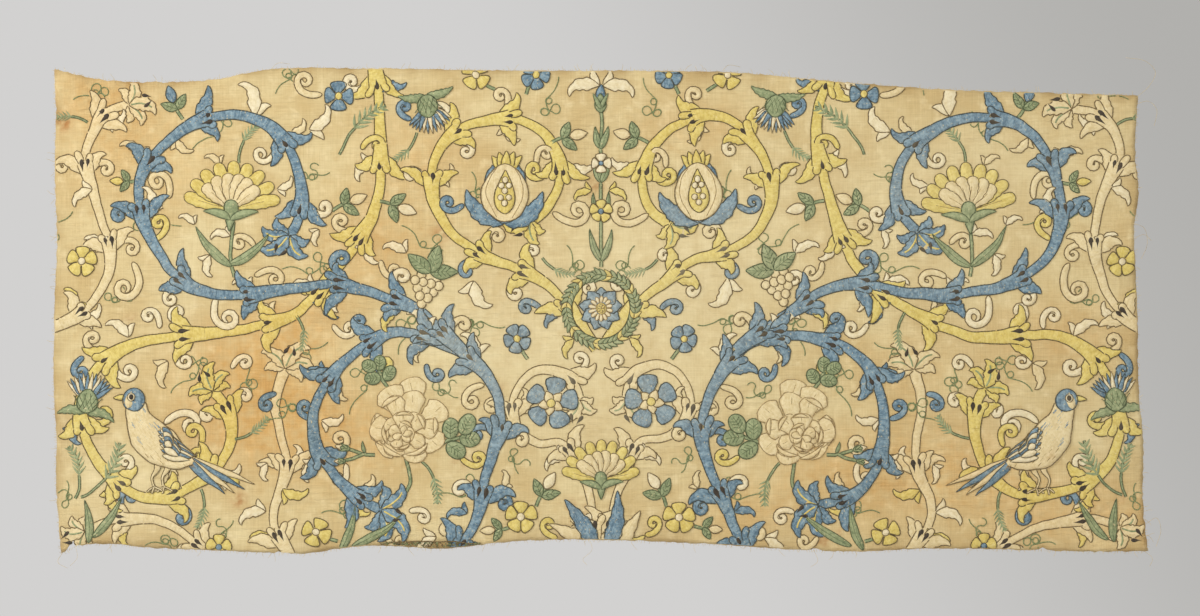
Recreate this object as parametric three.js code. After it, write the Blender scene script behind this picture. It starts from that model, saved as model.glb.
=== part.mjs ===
// Embroidered linen wall hanging: one old cut panel of linen, hung flat by its top edge.
//
// Frame, in millimetres: the origin is the middle of the top edge on the wall's surface.
// +X runs to the right along the top edge, +Z points up, and the worked face looks towards -Y.
// The wall is the plane y = 0. The cloth lies on it, and swells away from it in low ripples and
// creases, mostly along its cut edges, where an old cloth never quite lies down.

import * as THREE from 'three';

// The linen with its silk, pressed together.
const CLOTH_THICKNESS = 1.4;

// How finely the cloth is divided across and down, enough for its shortest ripple.
const COLUMNS = 60;
const ROWS = 28;

// The slab that the cloth is drawn out from runs from minus this to plus this, each way.
const HALF_UNIT = 0.5;

// The four cut edges. None is straight: the right end of the top edge hangs lower than the left,
// the bottom edge dips where its hem is turned under, and both sides waver.
const TOP_EDGE = [
  { x: -544, z: 1 },
  { x: -501, z: -9 },
  { x: -387, z: -9 },
  { x: -335, z: 1 },
  { x: -231, z: 2 },
  { x: -75, z: 0 },
  { x: 29, z: 0 },
  { x: 133, z: -2 },
  { x: 237, z: -11 },
  { x: 341, z: -19 },
  { x: 445, z: -22 },
  { x: 536, z: -25 },
];
const BOTTOM_EDGE = [
  { x: -539, z: -482 },
  { x: -526, z: -475 },
  { x: -439, z: -477 },
  { x: -335, z: -481 },
  { x: -301, z: -482 },
  { x: -231, z: -474 },
  { x: -161, z: -477 },
  { x: -75, z: -469 },
  { x: 29, z: -469 },
  { x: 133, z: -474 },
  { x: 237, z: -480 },
  { x: 341, z: -477 },
  { x: 497, z: -480 },
  { x: 545, z: -479 },
];
const LEFT_EDGE = [
  { z: -482, x: -539 },
  { z: -444, x: -542 },
  { z: -404, x: -544 },
  { z: -364, x: -543 },
  { z: -324, x: -546 },
  { z: -204, x: -544 },
  { z: -164, x: -543 },
  { z: -84, x: -545 },
  { z: -44, x: -544 },
  { z: 1, x: -544 },
];
const RIGHT_EDGE = [
  { z: -479, x: 545 },
  { z: -444, x: 541 },
  { z: -364, x: 541 },
  { z: -324, x: 537 },
  { z: -244, x: 535 },
  { z: -204, x: 534 },
  { z: -164, x: 531 },
  { z: -124, x: 536 },
  { z: -84, x: 533 },
  { z: -25, x: 536 },
];

// Where the cloth stands away from the wall. Each fold is a soft ridge with its middle at x, z.
// Its crest runs at an angle in degrees from +X towards +Z, length and breadth are its whole
// reach along and across the crest, and lift is how far the crest stands out.
const FOLDS = [
  // The top left corner curls into an ear, and the top edge waves once beside it.
  { x: -541, z: -2, angle: -45, length: 110, breadth: 70, lift: 7 },
  { x: -448, z: -14, angle: 88, length: 90, breadth: 72, lift: 3.4 },
  // The left side ripples where the motifs were cut through.
  { x: -540, z: -128, angle: 6, length: 130, breadth: 66, lift: 2.6 },
  { x: -542, z: -232, angle: -8, length: 110, breadth: 74, lift: 2.2 },
  { x: -541, z: -356, angle: 4, length: 140, breadth: 80, lift: 2.8 },
  // The hem, turned under for a hand's breadth, and the waves on each side of it.
  { x: -162, z: -470, angle: -2, length: 170, breadth: 34, lift: 3.2 },
  { x: -306, z: -474, angle: 84, length: 96, breadth: 78, lift: 3.6 },
  { x: 2, z: -468, angle: 92, length: 84, breadth: 90, lift: 2.4 },
  { x: 158, z: -474, angle: 96, length: 96, breadth: 84, lift: 3 },
  { x: 268, z: -476, angle: 80, length: 80, breadth: 68, lift: 2.2 },
  // The right side is the most rippled, and its bottom corner flares.
  { x: 533, z: -112, angle: 172, length: 120, breadth: 62, lift: 4.2 },
  { x: 530, z: -172, angle: 184, length: 150, breadth: 64, lift: 4.6 },
  { x: 534, z: -258, angle: 176, length: 100, breadth: 74, lift: 2.6 },
  { x: 540, z: -470, angle: 52, length: 130, breadth: 84, lift: 6 },
  // The top edge droops a little to the right, in one long shallow swell.
  { x: 330, z: -24, angle: 94, length: 100, breadth: 150, lift: 2 },
  // Faint creases across the middle, left from the cloth lying folded.
  { x: -6, z: -194, angle: 3, length: 300, breadth: 60, lift: 1.4 },
  { x: -122, z: -362, angle: -4, length: 260, breadth: 62, lift: 1.2 },
  { x: 124, z: -310, angle: 5, length: 240, breadth: 58, lift: 1.1 },
  { x: 292, z: -396, angle: -3, length: 220, breadth: 60, lift: 1.3 },
];

const LINEN_COLOUR = 0xd9c28c;
const LINEN_ROUGHNESS = 0.92;

// A smooth line through a table's rows: at(place) gives the value column at that place.
function smoothLine(table, placeName, valueName) {
  const places = table.map((row) => row[placeName]);
  const values = table.map((row) => row[valueName]);
  const curve = new THREE.CubicInterpolant(places, values, 1);
  return { first: places[0], last: places[places.length - 1], at: (place) => curve.evaluate(place)[0] };
}

const topLine = smoothLine(TOP_EDGE, 'x', 'z');
const bottomLine = smoothLine(BOTTOM_EDGE, 'x', 'z');
const leftLine = smoothLine(LEFT_EDGE, 'z', 'x');
const rightLine = smoothLine(RIGHT_EDGE, 'z', 'x');

// A point of the cloth, from its share across (left 0, right 1) and its share up (bottom 0,
// top 1): x is blended between the two sides, and z between the bottom edge and the top edge.
function placeInOutline(across, up) {
  const mix = THREE.MathUtils.lerp;
  const bottomX = mix(bottomLine.first, bottomLine.last, across);
  const topX = mix(topLine.first, topLine.last, across);
  const leftZ = mix(leftLine.first, leftLine.last, up);
  const rightZ = mix(rightLine.first, rightLine.last, up);
  return {
    x: mix(leftLine.at(leftZ), rightLine.at(rightZ), across),
    z: mix(bottomLine.at(bottomX), topLine.at(topX), up),
  };
}

// A soft hump that is 1 in its middle and runs out to 0, level, at a share of 1 from there.
function hump(share) {
  return Math.abs(share) < 1 ? (1 - share ** 2) ** 2 : 0;
}

// How far the cloth's back stands off the wall at x, z.
function liftAt(x, z) {
  let lift = 0;
  for (const fold of FOLDS) {
    const turn = THREE.MathUtils.degToRad(fold.angle);
    const alongCrest = (x - fold.x) * Math.cos(turn) + (z - fold.z) * Math.sin(turn);
    const acrossCrest = (z - fold.z) * Math.cos(turn) - (x - fold.x) * Math.sin(turn);
    lift += fold.lift * hump(alongCrest / (fold.length / 2)) * hump(acrossCrest / (fold.breadth / 2));
  }
  return lift;
}

// The whole cloth: a slab of unit size, divided across and down, is drawn out to the cut edges,
// and both its faces follow the folds, one thickness apart.
function makeLinen() {
  const geometry = new THREE.BoxGeometry(2 * HALF_UNIT, 2 * HALF_UNIT, 2 * HALF_UNIT, COLUMNS, 1, ROWS);
  const points = geometry.attributes.position;
  for (let i = 0; i < points.count; i += 1) {
    const place = placeInOutline(points.getX(i) + HALF_UNIT, points.getZ(i) + HALF_UNIT);
    const onWorkedFace = points.getY(i) < 0;
    const standOff = liftAt(place.x, place.z) + (onWorkedFace ? CLOTH_THICKNESS : 0);
    points.setXYZ(i, place.x, -standOff, place.z);
  }
  geometry.computeVertexNormals();
  const material = new THREE.MeshStandardMaterial({
    color: LINEN_COLOUR,
    roughness: LINEN_ROUGHNESS,
    metalness: 0,
  });
  const linen = new THREE.Mesh(geometry, material);
  linen.name = 'embroidered_linen';
  return linen;
}

const hanging = new THREE.Group();
hanging.name = 'embroidered_wall_hanging';
hanging.add(makeLinen());

export default hanging;
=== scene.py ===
# %% [markdown]
# # An old embroidered linen hanging
#
# The object is one strip of hand-woven linen, a little over a metre wide, with raw cut edges. It
# is worked all over in silk: scrolling stems in blue, yellow and cream, and flowers, leaves and
# birds between them, the same on the left as on the right. It hangs flat by its top edge.
#
# The model has four layers. First comes the cloth itself, with its folds, creases, stains and
# frayed edges. On it lie the silk fills, each a low cushion of thread. Over their borders run
# the outlines in stem stitch. Last come the stitches that show on the back.
#
# Everything is drawn in millimetres on the cloth's plane: x runs to the right from the middle of
# the top edge, and z runs up. A helper then lays each point on the cloth's own folds.

# %% The frame and its sizes
import math
import random
from collections import defaultdict, namedtuple

import bmesh
import bpy
import numpy as np
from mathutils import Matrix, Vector, noise
from mathutils.bvhtree import BVHTree
from mathutils.kdtree import KDTree


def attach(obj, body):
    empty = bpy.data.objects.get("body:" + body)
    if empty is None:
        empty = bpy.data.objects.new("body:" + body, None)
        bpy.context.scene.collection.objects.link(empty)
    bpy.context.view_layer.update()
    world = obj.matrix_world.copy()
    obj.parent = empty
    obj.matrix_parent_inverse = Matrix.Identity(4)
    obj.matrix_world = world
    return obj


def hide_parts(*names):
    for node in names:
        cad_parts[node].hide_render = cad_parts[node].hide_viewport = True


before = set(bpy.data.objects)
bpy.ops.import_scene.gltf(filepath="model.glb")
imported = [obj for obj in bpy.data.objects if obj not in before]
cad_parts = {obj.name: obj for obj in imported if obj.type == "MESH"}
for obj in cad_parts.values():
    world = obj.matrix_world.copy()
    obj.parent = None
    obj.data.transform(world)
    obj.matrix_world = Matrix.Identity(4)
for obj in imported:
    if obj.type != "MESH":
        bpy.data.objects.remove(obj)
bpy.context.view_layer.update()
MM = 0.001
FAR = 1.0
CLOTH_NODE = "embroidered_linen"
cad_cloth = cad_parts[CLOTH_NODE]

# %% [markdown]
# ## Where the cloth ends and how far it stands out
#
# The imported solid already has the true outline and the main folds, so nothing is drawn twice.
# The four cut edges are read from its narrow side faces, as four lines that numpy can look up,
# and rays from the front and from the back say how far the cloth stands from the wall.

# %% Edges and heights read from the solid
SIDE_FACES = {"top": (2, 1), "bottom": (2, -1), "right": (0, 1), "left": (0, -1)}
SIDE_FACING = 0.7
NEARLY_NOTHING = 1e-6


def read_edges(cloth):
    """The four cut edges in mm: the places along each, and how far out it lies there."""
    found = {name: set() for name in SIDE_FACES}
    for face in cloth.data.polygons:
        for name, (axis, sign) in SIDE_FACES.items():
            if face.normal[axis] * sign > SIDE_FACING:
                for index in face.vertices:
                    point = cloth.data.vertices[index].co / MM
                    found[name].add((round(point.x, 1), round(point.z, 1)))
    edges = {}
    for name, (axis, _) in SIDE_FACES.items():
        line = np.array(sorted(found[name], key=lambda p: p[0] if axis == 2 else p[1]))
        edges[name] = (line[:, 0], line[:, 1]) if axis == 2 else (line[:, 1], line[:, 0])
    return edges


EDGES = read_edges(cad_cloth)


def edge_at(name, places):
    return np.interp(places, *EDGES[name])


def in_outline(across, up):
    """A point of the cloth in mm, from its share across and its share up, both from 0 to 1."""
    ends = {name: (line[0][0], line[0][-1]) for name, line in EDGES.items()}
    bottom_x, top_x = (ends[n][0] + (ends[n][1] - ends[n][0]) * across for n in ("bottom", "top"))
    left_z, right_z = (ends[n][0] + (ends[n][1] - ends[n][0]) * up for n in ("left", "right"))
    x = edge_at("left", left_z) * (1 - across) + edge_at("right", right_z) * across
    z = edge_at("bottom", bottom_x) * (1 - up) + edge_at("top", top_x) * up
    return x, z


def held_inside(points, margin):
    """The points, moved to the nearest place that lies a margin inside the cut edges."""
    x, z = points[..., 0], points[..., 1]
    z = np.clip(z, edge_at("bottom", x) + margin, edge_at("top", x) - margin)
    x = np.clip(x, edge_at("left", z) + margin, edge_at("right", z) - margin)
    return np.stack([x, z], axis=-1)


def cut_off(points, margin):
    """Whether each point lies outside the cut edges, or less than a margin inside them."""
    return np.abs(held_inside(points, margin) - points).max(-1) > NEARLY_NOTHING


def face_tree(obj):
    return BVHTree.FromObject(obj, bpy.context.evaluated_depsgraph_get())


def depth_at(tree, x, z, side=-1):
    """The y in mm of the surface at x, z, seen from the front, or from the back with side 1."""
    start = Vector((x * MM, side * FAR, z * MM))
    hit = tree.ray_cast(start, Vector((0, -side, 0)))[0]
    if hit is None:
        hit = tree.find_nearest(Vector((x * MM, 0, z * MM)))[0]
    return hit.y / MM


print("cut edges read:", {name: len(line[0]) for name, line in EDGES.items()})

# %% [markdown]
# ## The linen
#
# A cloth that hangs flat could be one plane, but its edges would be knife cuts and no light would
# catch on it. So a fine grid is drawn out to the cut edges, takes the solid's folds, smoothed, and
# gets what the solid leaves out: sharp old fold lines, the puckers that stitching draws into a
# cloth, and an edge that wavers thread by thread. Solidify then gives it a back.

# %% The linen's sizes, in mm, and its creases
LINEN_THICKNESS = 0.6
SILK_DEPTH = 0.5
GRID_ACROSS = 250
GRID_UP = 112
SMOOTHING_ROUNDS = 14
PUCKER_DEPTH = 0.36
PUCKER_SIZE = 17.0
EDGE_WAVER = 1.3
WAVER_SIZE = 5.0
CREASES = [
    # x, z, angle, length, breadth, depth: a minus depth is a trough
    (-10, -192, 2, 230, 9, 0.7),
    (-20, -203, 4, 150, 8, -0.5),
    (-120, -360, -3, 170, 8, 0.6),
    (-60, -384, -2, 220, 10, -0.5),
    (125, -310, 6, 150, 9, 0.6),
    (295, -394, -2, 190, 9, 0.7),
    (330, -384, 3, 160, 8, -0.5),
    (-300, -64, 1, 260, 9, 0.5),
    (60, -66, -1, 300, 10, 0.4),
    (400, -66, -3, 200, 9, 0.5),
    (-420, -300, 8, 160, 10, 0.5),
    (-250, -240, -9, 170, 9, 0.6),
    (210, -215, 70, 90, 8, 0.5),
    (430, -230, 84, 120, 9, -0.5),
    (-470, -90, 60, 110, 9, 0.7),
    (498, -150, -4, 120, 14, 1.4),
    (500, -196, 2, 120, 13, -1.2),
    (505, -236, -2, 110, 14, 1.0),
    (-515, -130, 3, 90, 14, 0.9),
    (-505, -250, -4, 110, 13, 0.8),
    (500, -430, 40, 120, 13, 1.1),
    (-190, -458, 0, 200, 7, 0.8),
]
NICKS = [
    # x of a small tear in the bottom edge, how deep it goes, how wide it is
    (-527, 9, 6),
    (-318, 3, 9),
    (214, 2.5, 8),
    (441, 3, 7),
]
print("creases and nicks placed:", len(CREASES), "and", len(NICKS))


def hump(share):
    """1 in the middle, and out to 0, level, at a share of 1 from there."""
    return (1 - share**2) ** 2 if abs(share) < 1 else 0.0


def crease_at(x, z):
    """How far the creases and puckers lift the cloth at x, z, in mm."""
    lift = PUCKER_DEPTH * noise.noise(Vector((x, z, 0)) / PUCKER_SIZE)
    for crease_x, crease_z, angle, length, breadth, depth in CREASES:
        turn = math.radians(angle)
        along = (x - crease_x) * math.cos(turn) + (z - crease_z) * math.sin(turn)
        across = (z - crease_z) * math.cos(turn) - (x - crease_x) * math.sin(turn)
        lift += depth * hump(2 * along / length) * hump(across / breadth)
    return lift


# %% Stains
STAINS = np.array([
    # x, z, reach across, reach up, and how warm: a minus is a paler patch
    (-351, -304, 74, 62, 1.0),
    (-221, -176, 64, 50, 0.8),
    (-271, -362, 96, 46, 0.9),
    (-451, -89, 84, 70, 0.5),
    (-301, -250, 60, 50, 0.6),
    (-505, -30, 60, 40, 0.6),
    (-420, -372, 70, 40, 0.5),
    (-180, -84, 60, 44, 0.5),
    (-95, -150, 50, 36, 0.5),
    (99, -62, 70, 34, 0.4),
    (244, -404, 84, 46, 0.7),
    (379, -402, 88, 44, 0.8),
    (455, -262, 72, 44, 0.5),
    (489, -446, 88, 34, 0.6),
    (300, -300, 60, 44, 0.4),
    (130, -440, 60, 26, 0.5),
    (0, -234, 170, 84, -0.9),
    (-60, -330, 120, 60, -0.6),
    (120, -180, 100, 60, -0.7),
    (350, -109, 116, 50, -0.8),
    (350, -200, 90, 30, -0.5),
    (-150, -262, 56, 40, -0.7),
    (-471, -400, 66, 54, -0.7),
    (-400, -196, 60, 44, -0.5),
    (480, -360, 60, 40, -0.5),
    (60, -330, 90, 44, -0.4),
])
SPOTS = np.array([
    # x, z, reach and strength of a rust spot
    (-6, -114, 10, 0.8),
    (-161, -164, 9, 0.7),
    (-139, -170, 5, 0.5),
    (-361, -429, 8, 0.8),
    (-352, -440, 5, 0.6),
    (-26, -439, 11, 0.7),
    (449, -384, 6, 0.7),
    (-536, -52, 8, 1.0),
    (-140, -392, 7, 0.6),
    (222, -470, 6, 0.8),
    (238, -462, 4, 0.6),
    (-20, -206, 6, 0.4),
    (520, -424, 6, 0.5),
    (-470, -246, 7, 0.4),
    (330, -66, 6, 0.4),
    (-98, -318, 5, 0.5),
])
SOIL_REACH = 7.0
SOIL_PATCH = 30.0
HEM = (-219, -119)
HEM_HEIGHT = 7.5
HEM_SOIL = 1.1


def hem_height(x):
    """How far the turned hem reaches up from the bottom edge at x, in mm."""
    return HEM_HEIGHT * hump((2 * x - sum(HEM)) / (HEM[1] - HEM[0])) ** 0.4


def stain_at(x, z):
    """How warm, how rusty and how soiled the cloth is at x, z."""
    warm = (STAINS[:, 4] * np.exp(-(((x - STAINS[:, 0]) / STAINS[:, 2]) ** 2)
                                  - ((z - STAINS[:, 1]) / STAINS[:, 3]) ** 2)).sum()
    rust = (SPOTS[:, 3] * np.exp(-((x - SPOTS[:, 0]) ** 2 + (z - SPOTS[:, 1]) ** 2) / SPOTS[:, 2] ** 2)).max()
    from_edge = min(x - edge_at("left", z), edge_at("right", z) - x, edge_at("top", x) - z,
                    z - edge_at("bottom", x))
    patchy = 0.5 + noise.noise(Vector((x, z, 4)) / SOIL_PATCH)
    soil = math.exp(-max(from_edge, 0) / SOIL_REACH) * patchy
    if z - edge_at("bottom", x) < hem_height(x):
        soil = max(soil, HEM_SOIL * (0.6 + 0.4 * patchy))
    return float(warm), float(rust), float(soil)


print("stains and rust spots placed:", len(STAINS), "and", len(SPOTS))


# %% The linen's mesh
HALF_GRID = 0.5
NICK_ROWS = 4


def added(name, data):
    """A new object, put into the scene."""
    made = bpy.data.objects.new(name, data)
    bpy.context.scene.collection.objects.link(made)
    return made


def smooth_object(name, bm):
    """The finished shape as an object that is shaded smooth."""
    for face in bm.faces:
        face.smooth = True
    mesh = bpy.data.meshes.new(name)
    bm.to_mesh(mesh)
    bm.free()
    return added(name, mesh)


def make_linen():
    solid = face_tree(cad_cloth)
    bm = bmesh.new()
    stain = bm.verts.layers.float_vector.new("stain")
    bmesh.ops.create_grid(bm, x_segments=GRID_ACROSS, y_segments=GRID_UP, size=HALF_GRID)
    for vert in bm.verts:
        across, up = vert.co.x + HALF_GRID, vert.co.y + HALF_GRID
        x, z = in_outline(across, up)
        inside = held_inside(np.array([x, z]), LINEN_THICKNESS)
        lift = depth_at(solid, *inside) + SILK_DEPTH
        vert[stain] = stain_at(x, z)
        waver = EDGE_WAVER * noise.noise(Vector((x, z, 9)) / WAVER_SIZE)
        if across in (0, 1):
            x += waver
        if up in (0, 1):
            z += waver
        rows_up = up * GRID_UP / NICK_ROWS
        if rows_up < 1:
            for nick_x, deep, wide in NICKS:
                z += deep * hump((x - nick_x) / wide) * (1 - rows_up)
        vert.co = Vector((x, lift, z)) * MM
    for _ in range(SMOOTHING_ROUNDS):
        bmesh.ops.smooth_vert(bm, verts=bm.verts, factor=0.5, use_axis_y=True)
    for vert in bm.verts:
        vert.co.y -= crease_at(vert.co.x / MM, vert.co.z / MM) * MM
    bmesh.ops.solidify(bm, geom=bm.faces, thickness=LINEN_THICKNESS * MM)
    bmesh.ops.recalc_face_normals(bm, faces=bm.faces)
    return smooth_object("linen_cloth", bm)


linen = make_linen()
cloth_tree = face_tree(linen)
depths = [v.co.y / MM for v in linen.data.vertices]
print("linen:", len(linen.data.polygons), "faces, y in mm", round(min(depths), 2), round(max(depths), 2))

# %% [markdown]
# ## Silk and thread: the worker's tools
#
# Old work like this is laid floss: long threads of silk side by side fill a shape, and a line of
# twisted silk in stem stitch is worked around it. So two helpers are enough for every motif.
# `fill` takes the line that a shape follows and its half width along it, and `line` takes a line.
# Both only note what is to be worked, and in which order, because what is worked later covers
# what lies under it, and the parts of a shape that are covered are left out of the mesh.

# %% Smooth lines
Fill = namedtuple("Fill", "silk spine half layer order puff across_grain")
Line = namedtuple("Line", "silk points layer order radius")
fills = []
lines = []
STEP = 3.0
STITCH = 3.4
THREAD_RADIUS = 0.47
FINE_RADIUS = 0.36
TENDRIL_RADIUS = 0.52
CURVE_STEPS = 20
TINY = 1e-9


def distances(points):
    """How far along a line each of its points lies."""
    gaps = np.linalg.norm(np.diff(points, axis=0), axis=1)
    return np.concatenate([[0], np.cumsum(gaps)])


def points_at(points, along, wanted):
    """The line's places at the wanted distances, from its points and how far along they lie."""
    return np.column_stack([np.interp(wanted, along, points[:, axis]) for axis in (0, 1)])


def spaced(points, step):
    """The same line again, with points about one step apart."""
    along = distances(points)
    return points_at(points, along, np.linspace(0, along[-1], max(3, round(along[-1] / step) + 1)))


def smooth_path(points, step=STEP):
    """A smooth line through a few given points."""
    points = np.asarray(points, float)
    ends = np.vstack([2 * points[0] - points[1], points, 2 * points[-1] - points[-2]])
    t = np.linspace(0, 1, CURVE_STEPS, endpoint=False)[:, None]
    stretches = []
    for i in range(len(points) - 1):
        before, here, there, after = ends[i : i + 4]
        bend = 2 * before - 5 * here + 4 * there - after
        swing = -before + 3 * here - 3 * there + after
        stretches.append(0.5 * (2 * here + (there - before) * t + bend * t**2 + swing * t**3))
    stretches.append(points[-1:])
    return spaced(np.vstack(stretches), step)


def sideways(points):
    """The unit vector to the left of a line, at each of its points."""
    ahead = np.gradient(points, axis=0)
    ahead /= np.maximum(np.linalg.norm(ahead, axis=1), TINY)[:, None]
    return np.column_stack([-ahead[:, 1], ahead[:, 0]])


def directions(angles):
    """Unit vectors at the angles, in radians."""
    return np.column_stack([np.cos(angles), np.sin(angles)])


def heading_path(length, bend, count, power=1.0):
    """A line that starts upwards at 0, 0 and turns by bend degrees over its length."""
    share = (np.arange(count) + 0.5) / count
    steps = directions(np.radians(90 - bend * share**power)) * length / count
    return np.vstack([[0, 0], np.cumsum(steps, axis=0)])


# %% Widths along a shape
def shares(count):
    """Shares from 0 to 1 that lie closer together at both ends, where outlines turn."""
    return (1 - np.cos(np.pi * np.linspace(0, 1, count))) / 2


def petal_width(t):
    return t**0.75 * np.sqrt(np.clip(1 - t**5, 0, 1)) * 1.12


def leaf_width(t):
    return np.sin(np.pi * t**0.8) ** 0.85


def lance_width(t):
    return np.sin(np.pi * t**0.65) ** 0.9


def drop_width(t):
    round_end = np.sqrt(np.clip(1 - (t / 0.34 - 1) ** 2, 0, 1))
    return np.where(t < 0.34, round_end, ((1 - t) / 0.66) ** 1.4)


def disc_width(t):
    return np.sqrt(np.clip(1 - (2 * t - 1) ** 2, 0, 1))


def coil_width(t):
    root, tip = np.clip(t / 0.05, 0, 1) ** 0.5, np.clip(1 - t**9, 0, 1) ** 0.5
    return root * tip * (0.76 + 0.3 * np.sin(np.pi * t**0.7))


def fruit_width(t):
    return np.sin(np.pi * t**0.9) ** 0.55


# %% A place on the cloth
class Spot:
    """Where a motif is worked: its middle in mm, its turn in degrees, its size and its side.

    Side 1 is the right half of the cloth, and side -1 is the left half, which mirrors it.
    """

    def __init__(self, x, z, turn=0.0, size=1.0, side=1):
        self.middle = np.array([x, z], float)
        self.turn = turn
        self.size = size
        self.side = side
        angle = math.radians(turn)
        self.across = np.array([math.cos(angle), math.sin(angle)])
        self.up = np.array([-math.sin(angle), math.cos(angle)])

    def put(self, points):
        """Points of the motif's own drawing, in mm, as places on the cloth."""
        points = np.atleast_2d(np.asarray(points, float)) * self.size
        placed = self.middle + points[:, :1] * self.across + points[:, 1:] * self.up
        return placed * (self.side, 1)

    def inner(self, u, v, turn=0.0, size=1.0):
        """A spot at u, v of this motif's own drawing."""
        x, z = self.put([(u, v)])[0]
        return Spot(x * self.side, z, self.turn + turn, self.size * size, self.side)

    def turned(self, turn, reach=0.0):
        """The same spot turned, and moved some way out in the direction of that turn."""
        angle = math.radians(turn)
        return self.inner(-reach * math.sin(angle), reach * math.cos(angle), turn=turn)


# %% Laying silk
WAVERS = [
    # reach in mm of a hand's slow and quick wavering, and how wide it swings
    (24.0, 1.6),
    (7.0, 0.45),
]
BORDERS = {"blue": "ink", "yellow": "brown", "cream": "umber", "ivory": "umber", "green": "dark_green"}
WAVER_SEED = 11
PATH_STEPS = 24
order = iter(range(1, 10**6))
# The noise is seeded by the clock unless it is told a seed, and then no two runs are the same.
noise.seed_set(WAVER_SEED)


def wavered(points):
    """The points as a hand places them, a little off."""
    moved = np.array(points, float)
    for place in moved:
        for reach, swing in WAVERS:
            off = noise.noise_vector(Vector((place[0], place[1], reach)) / reach) * swing
            place += (off.x, off.y)
    return moved


def line(points, layer, silk="brown", radius=THREAD_RADIUS, number=None):
    """Works a line; one that borders a fill has that fill's number, and its waver already."""
    points = wavered(points) if number is None else points
    lines.append(Line(silk, points, layer, number or next(order), radius))


def fill(silk, spine, half, layer, border="own", thread=THREAD_RADIUS, puff=0.3, open_ends=False,
         across_grain=False):
    """Lays silk along a spine, and works its border: one line round it, or one along each side.

    Each silk has its own thread for borders. The silk's threads run along the spine, or across it
    where across_grain is set.
    """
    spine = wavered(spine)
    half = np.broadcast_to(np.asarray(half, float), len(spine))
    number = next(order)
    fills.append(Fill(silk, spine, half, layer, number, puff, across_grain))
    if border is None:
        return
    border = BORDERS[silk] if border == "own" else border
    out = sideways(spine) * half[:, None]
    left, right = spine + out, spine - out
    if open_ends:
        line(left, layer, border, thread, number)
        line(right, layer, border, thread, number)
    else:
        line(np.vstack([left, right[::-1]]), layer, border, thread, number)


def shape(spot, silk, width_rule, length, half, layer, bend=0.0, power=1.0, count=11, teeth=None, **more):
    """A petal, leaf or drop: a spine that may bend, and a rule for its half width along it.

    Teeth are given as how deep they are, as a share of the width, and how many there are.
    """
    share = shares(count)
    path = heading_path(length, bend, PATH_STEPS, power)
    placed = spot.put(points_at(path, np.linspace(0, 1, len(path)), share))
    widths = half * width_rule(share) * spot.size
    if teeth is not None:
        widths = widths * (1 + teeth[0] * (2 * (teeth[1] * share % 1) - 1))
    fill(silk, placed, widths, layer, **more)
    return placed


def fine_shape(*what, **more):
    """A shape whose border is worked in a finer thread."""
    return shape(*what, thread=FINE_RADIUS, **more)


def fine_line(points, layer, silk="dark_green"):
    line(points, layer, silk, FINE_RADIUS)


print("tools ready")

# %% [markdown]
# ## Small motifs
#
# A few small forms come again and again, as a worker knows them by heart: the dark drop between
# two lobes, the curled leaflet, the tendril with its loops, plain leaves, and round flowers of
# four or five petals. Each is a short function of a spot, so that a motif keeps its drawing but
# can be turned, sized and mirrored.


# %% Drops, leaflets and tendrils
TENDRIL_STEP = 1.5
LOOPS = (0.18, 0.4, 0.62, 0.84)
LOOP_RADIUS = 3.6
SWAY = 58.0
SWAYS = 1.4


def eye(spot, layer, size=1.0):
    shape(spot, "dark", drop_width, 13 * size, 2.7 * size, layer, border=None, puff=0.25, count=10)


def curl(spot, silk, layer, length, half, bend):
    """A leaflet on a short neck that rolls up into a round head."""
    shape(spot, silk, coil_width, length, half, layer, bend=bend, power=2.1, count=25)


def flick(spot, silk, layer, size=1.0):
    """A small toothed leaf that curls at its tip, with a shorter lobe beside it."""
    leaf = spot.inner(0, 0, size=size)
    shape(leaf.turned(38), silk, leaf_width, 15, 3.2, layer, bend=-70, power=2)
    shape(leaf, silk, leaf_width, 29, 4.6, layer, bend=120, power=2.6, teeth=(0.22, 3), count=19)


def tendril(spot, length):
    """A green line that wanders, with small loops at some shares of its length."""
    count = round(length / TENDRIL_STEP)
    along = np.arange(count) * length / count
    heading = 90 + SWAY * np.sin(2 * np.pi * along / length * SWAYS)
    turn_length = 2 * np.pi * LOOP_RADIUS
    for i, share in enumerate(LOOPS):
        through = np.clip((along - share * length) / turn_length, 0, 1)
        heading = heading + 360 * through * (1 if i % 2 else -1)
    steps = directions(np.radians(heading)) * length / count
    line(spot.put(np.cumsum(steps, axis=0)), 0, "green", TENDRIL_RADIUS)


def fern(spot, layer=2, length=70.0, bend=60.0):
    """A thin stalk that arches over, with narrow leaflets on both sides of its upper half."""
    path = heading_path(length, bend, 22)
    spine = spot.put(path)
    fill("green", spine, 1.1, layer, thread=FINE_RADIUS, puff=0.15, open_ends=True)
    for i in range(10, len(path) - 1, 2):
        u, v = path[i]
        for side in (-1, 1):
            leaf = spot.inner(u, v, turn=side * 42 - bend * i / len(path))
            shape(leaf, "green", lance_width, 19 - 0.5 * i, 1.6, layer, count=7, border=None)


# %% Leaves
STALK_HALF = 1.5


def veined_leaf(spot, layer, length, half, width_rule=leaf_width, veins=3):
    """A green leaf with a midrib and short veins, both in dark thread."""
    shape(spot, "green", width_rule, length, half, layer)
    fine_line(spot.put([(0, length * 0.06), (0, length * 0.5), (0, length * 0.9)]), layer)
    for i in range(veins):
        v = length * (0.25 + 0.5 * i / veins)
        for side in (-1, 1):
            tip = (side * half * 0.6, v + length * 0.17)
            fine_line(spot.put([(0, v), tip]), layer)


def lance_leaf(spot, layer, length, half, bend):
    spine = fine_shape(spot, "green", lance_width, length, half, layer, bend=bend, count=16)
    fine_line(spine[1:-2], layer)


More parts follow.
